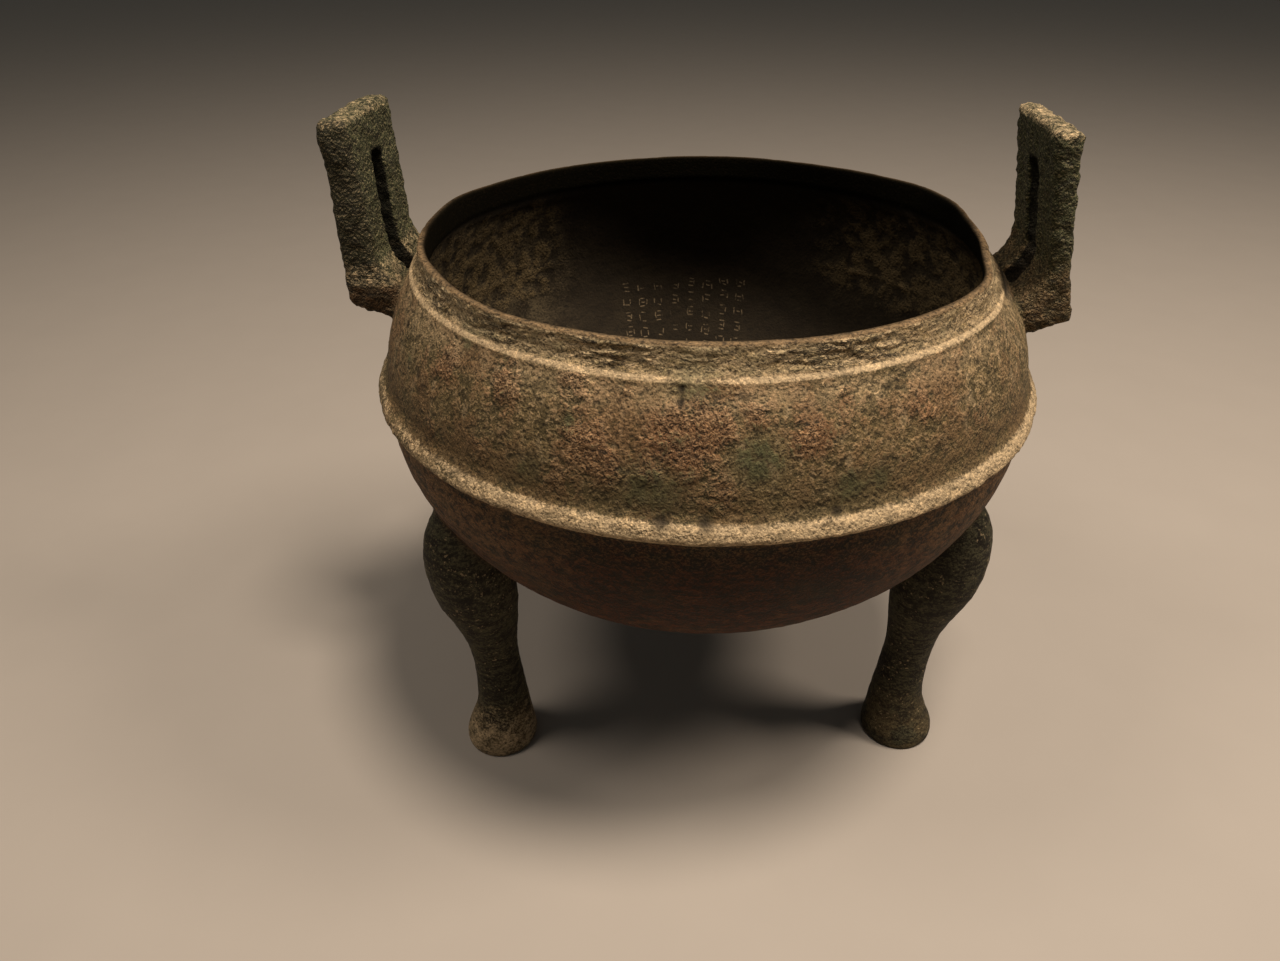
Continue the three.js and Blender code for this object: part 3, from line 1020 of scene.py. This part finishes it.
        # painted light: the sides of grains and lumps that face up are lightened and those that
        # face down darkened, as for light from above
        grain = 0.32 + masks["crust"] * 0.22 - masks["inside"] * 0.2
        underside_shade = grain + 0.2 + masks["ear"] * 0.3
        colour = kit.mix(upward.ease(-0.02, -0.12) * underside_shade * smooth, colour, deep)
        top_highlight = grain * (1 - masks["leg"] * 0.4)
        colour = kit.mix(upward.ease(0.02, 0.13) * top_highlight * 1.4, colour, painted_highlight, "MULTIPLY")
        # painted highlight: tan on the upper sides of the ear grains
        colour = kit.mix(masks["ear"] * upward.ease(0.03, 0.14) * 0.3, colour, tan)
        colour = kit.mix(lifted.ease(-0.03, -0.14) * 0.5 * smooth, colour, deep)
        colour = kit.mix(lifted.ease(0.03, 0.15) * top_highlight * 1.2, colour, painted_highlight, "MULTIPLY")
        # real dark spots darken the shoulder; on the ears this mask is the painted shade of the
        # slots, made black
        colour = kit.mix((masks["dark"] + (grit - 0.5) * 0.8).ease(0.35, 0.8) * 0.9, colour,
                         kit.mix(masks["ear"], dark, black_and_shade))
        colour = kit.mix(pits * 0.8 * (1 - low), colour, dark)

        rough = 0.62 + grit * 0.25 + masks["crust"] * 0.1 + masks["inside"] * 0.15
        # the painted black inside the neck and in the ear slots is made metal, so that it shows no
        # sheen
        black = (z.ease(283.0, 289.0) * masks["inside"]).higher(masks["dark"] * masks["ear"] * 0.6)
        metal = (0.22 - masks["crust"] * 0.35 - masks["pale"] * 0.2 - masks["inside"] * 0.3
                 + (cloud - 0.5) * 0.4)
        coarse = masks["crust"] * 0.6 + masks["ear"] * 0.5 + masks["red"] * (1 - low) * 0.4
        relief_mm = (grit * (0.50 + coarse * 1.3) + patchy * (0.4 + coarse * 0.9)
                     + flake.ease(0.42, 0.58) * neck * masks["crust"] * 0.9 - cracks * 0.5
                     - marks * 0.3)
        bump = kit.node("ShaderNodeBump", None, {"Strength": 1.0, "Distance": 0.001,
                                                 "Height": relief_mm}, "Normal")
        kit.feed(Base_Color=colour, Roughness=rough, Metallic=metal.higher(black), Normal=bump,
                 Specular_IOR_Level=0.22)
        bpy.data.objects["ding_body"].data.materials.append(kit.material)
        return {"FINISHED"}


def area_light(name, place, size, power, colour):
    """A round lamp that points at the vessel."""
    lamp = bpy.data.lights.new(name, "AREA")
    lamp.shape = "DISK"
    lamp.size = size
    lamp.energy = power
    lamp.color = colour
    light = bpy.data.objects.new(name, lamp)
    light.location = place
    aim = Vector(LIGHT_AIM) - Vector(place)
    light.rotation_euler = aim.to_track_quat("-Z", "Y").to_euler()
    bpy.context.scene.collection.objects.link(light)


class DING_OT_stage(bpy.types.Operator):
    """Lays the floor and sets the lights, the sky and the camera"""

    bl_idname = "ding.stage"
    bl_label = "Stage"

    def execute(self, context):
        look = context.scene.ding_stage
        scene = context.scene
        bm = bmesh.new()
        bmesh.ops.create_grid(bm, x_segments=2, y_segments=2, size=6.0)
        floor = piece_from(bm, "floor")
        kit = Nodes("pale_floor")
        place = kit.vector("SCALE", kit.node("ShaderNodeTexCoord", output="Object"), scale=1000.0)
        speck = kit.noise(place, 60, 4)
        plain = tuple(look.floor)
        shade = tuple(0.94 * value for value in plain)
        kit.feed(Base_Color=kit.mix(speck, shade, plain), Roughness=0.75)
        floor.data.materials.append(kit.material)

        area_light("key", (0.28, -0.32, 1.9), 0.45, look.key_power, WARM_LIGHT)
        area_light("right", (1.15, -0.2, 1.6), 0.5, look.side_power, WARM_LIGHT)
        area_light("left", (-0.85, -0.2, 1.6), 0.5, look.side_power * LEFT_SHARE, SOFT_LIGHT)
        world = bpy.data.worlds.new("soft_sky")
        world.use_nodes = True
        sky = world.node_tree.nodes["Background"]
        sky.inputs["Color"].default_value = SKY_COLOUR
        sky.inputs["Strength"].default_value = look.sky
        scene.world = world
        scene.view_settings.view_transform = "Standard"

        camera = bpy.data.cameras.new("camera")
        camera.sensor_width = SENSOR
        camera.lens = LENS
        camera.clip_start = 0.02
        camera.clip_end = 50
        pitch, yaw, roll = map(math.radians, CAMERA_TURN)
        ahead = Vector((math.sin(yaw) * math.cos(pitch), math.cos(yaw) * math.cos(pitch),
                        -math.sin(pitch)))
        level = Vector((math.cos(yaw), -math.sin(yaw), 0))
        upward = level.cross(ahead)
        right = math.cos(roll) * level + math.sin(roll) * upward
        top = math.cos(roll) * upward - math.sin(roll) * level
        holder = bpy.data.objects.new("camera", camera)
        turn = Matrix((right, top, -ahead)).transposed().to_4x4()
        holder.matrix_world = Matrix.Translation(CAMERA_PLACE) @ turn
        scene.collection.objects.link(holder)
        scene.camera = holder
        return {"FINISHED"}


class DING_PT_panel(bpy.types.Panel):
    """Lists the pieces of the vessel and their settings"""

    bl_idname = "DING_PT_panel"
    bl_label = "Bronze ding vessel"
    bl_space_type = "VIEW_3D"
    bl_region_type = "UI"
    bl_category = "Ding"

    def draw(self, context):
        for step in STEPS:
            self.layout.operator(step.bl_idname)
        for group in (context.scene.ding_sizes, context.scene.ding_patina,
                      context.scene.ding_stage):
            box = self.layout.box()
            for name in group.__annotations__:
                box.prop(group, name)


STEPS = (DING_OT_bowl, DING_OT_ears, DING_OT_legs, DING_OT_relief, DING_OT_patina,
         DING_OT_stage)
CLASSES = (DingSizes, DingPatina, DingStage, *STEPS, DING_PT_panel)


def register():
    for item in CLASSES:
        bpy.utils.register_class(item)
    bpy.types.Scene.ding_sizes = bpy.props.PointerProperty(type=DingSizes)
    bpy.types.Scene.ding_patina = bpy.props.PointerProperty(type=DingPatina)
    bpy.types.Scene.ding_stage = bpy.props.PointerProperty(type=DingStage)


def unregister():
    for name in ("ding_stage", "ding_patina", "ding_sizes"):
        delattr(bpy.types.Scene, name)
    for item in reversed(CLASSES):
        bpy.utils.unregister_class(item)


def main():
    register()
    bpy.ops.ding.bowl()
    bpy.ops.ding.ears()
    bpy.ops.ding.legs()
    bpy.ops.ding.relief()
    bpy.ops.ding.patina()
    bpy.ops.ding.stage()


if __name__ == "__main__":
    main()
